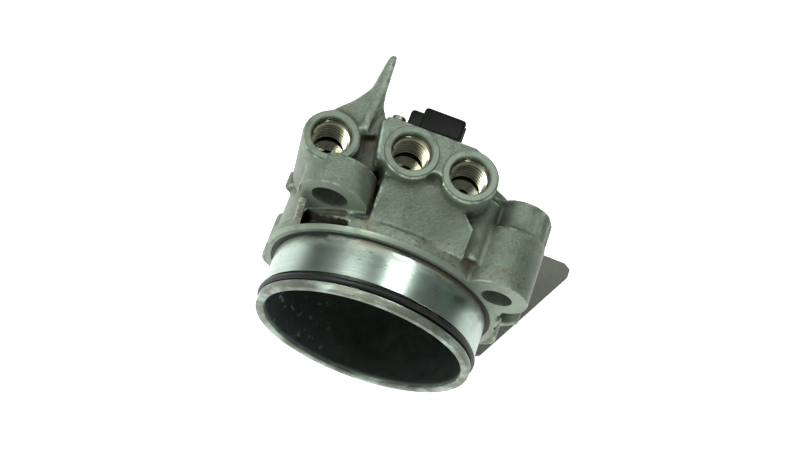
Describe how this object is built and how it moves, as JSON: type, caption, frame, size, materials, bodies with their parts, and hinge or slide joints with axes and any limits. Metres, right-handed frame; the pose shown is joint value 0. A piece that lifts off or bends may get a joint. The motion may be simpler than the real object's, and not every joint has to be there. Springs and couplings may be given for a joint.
{
  "type": "electronic throttle body",
  "caption": "Cast throttle body with an O-ring spigot, bolt towers and threaded ports on top, and a butterfly turned by a geared motor underneath.",
  "frame": {"origin": "centre of the spigot's mouth, on the bore axis", "axes": "+Y along the bore, from the mouth into the body; +Z the way the threaded ports face; the part stands on its gear case"},
  "size_m": [0.128, 0.1065, 0.149],
  "materials": {
    "cast_aluminium": "as cast, greyed and stained, machined on the spigot and ports",
    "nitrile": "black, satin",
    "sealing_fibre": "dark grey, matt",
    "bronze": "sintered, matt",
    "bearing_steel": "ground",
    "shaft_steel": "ground",
    "rolled_brass": "rolled, dulled",
    "plated_steel": "zinc plated",
    "gear_nylon": "natural, greasy",
    "spring_steel": "oil tempered",
    "bracket_steel": "bare sheet, browned",
    "die_cast_grey": "die cast, blasted",
    "motor_steel": "drawn can",
    "ferrite": "dark sintered magnet",
    "copper_core": "wound core, lacquered",
    "board_green": "solder resist",
    "connector_black": "glass filled nylon",
    "pin_plate": "tin and gold plated"
  },
  "bodies": {
    "casing": {"housing": "cast_aluminium", "spigot_o_ring": "nitrile", "root_seal": "sealing_fibre", "rear_seal": "nitrile", "upper_bush": "bronze", "bearing_outer_ring": "bearing_steel", "bearing_balls": "bearing_steel", "shaft_seal": "nitrile", "return_spring": "spring_steel", "bracket_plate": "bracket_steel", "case_gasket": "sealing_fibre", "gear_case": "die_cast_grey", "case_screws": "plated_steel", "plate_screws": "plated_steel", "dowel_pins": "bearing_steel", "intermediate_axle": "bearing_steel", "motor_can": "motor_steel", "motor_end_plate": "motor_steel", "motor_magnets": "ferrite", "hall_board": "board_green", "board_screws": "plated_steel", "case_connector": "connector_black", "case_pins": "pin_plate", "pressure_sensor": "connector_black", "sensor_o_ring": "nitrile", "sensor_pins": "pin_plate", "sensor_fixing": "plated_steel"},
    "throttle": {"throttle_shaft": "shaft_steel", "butterfly": "rolled_brass", "butterfly_screws": "plated_steel", "sector_gear": "gear_nylon", "sector_nut": "plated_steel", "position_magnet": "ferrite", "bearing_inner_ring": "bearing_steel"},
    "intermediate": {"intermediate_gear": "gear_nylon"},
    "motor": {"motor_rotor": "copper_core", "motor_shaft": "shaft_steel", "motor_pinion": "bronze"}
  },
  "joints": [
    {"name": "throttle_turn", "type": "hinge", "parent": "casing", "child": "throttle", "pos_m": [0, 0.0445, 0], "axis": [0, 0, 1], "range_deg": [0, 84], "stiffness_Nm_per_rad": 0.05, "deforming": ["return_spring"]},
    {"name": "intermediate_turn", "type": "hinge", "parent": "casing", "child": "intermediate", "pos_m": [0.01099, 0.06806, 0], "axis": [0, 0, 1], "range_deg": [-340, 0]},
    {"name": "motor_turn", "type": "hinge", "parent": "casing", "child": "motor", "pos_m": [-0.00792, 0.06473, 0], "axis": [0, 0, 1], "range_deg": [0, 1020]}
  ],
  "couplings": [
    {"joint": "intermediate_turn", "follows": "throttle_turn", "ratio": -4},
    {"joint": "motor_turn", "follows": "throttle_turn", "ratio": 12}
  ]
}
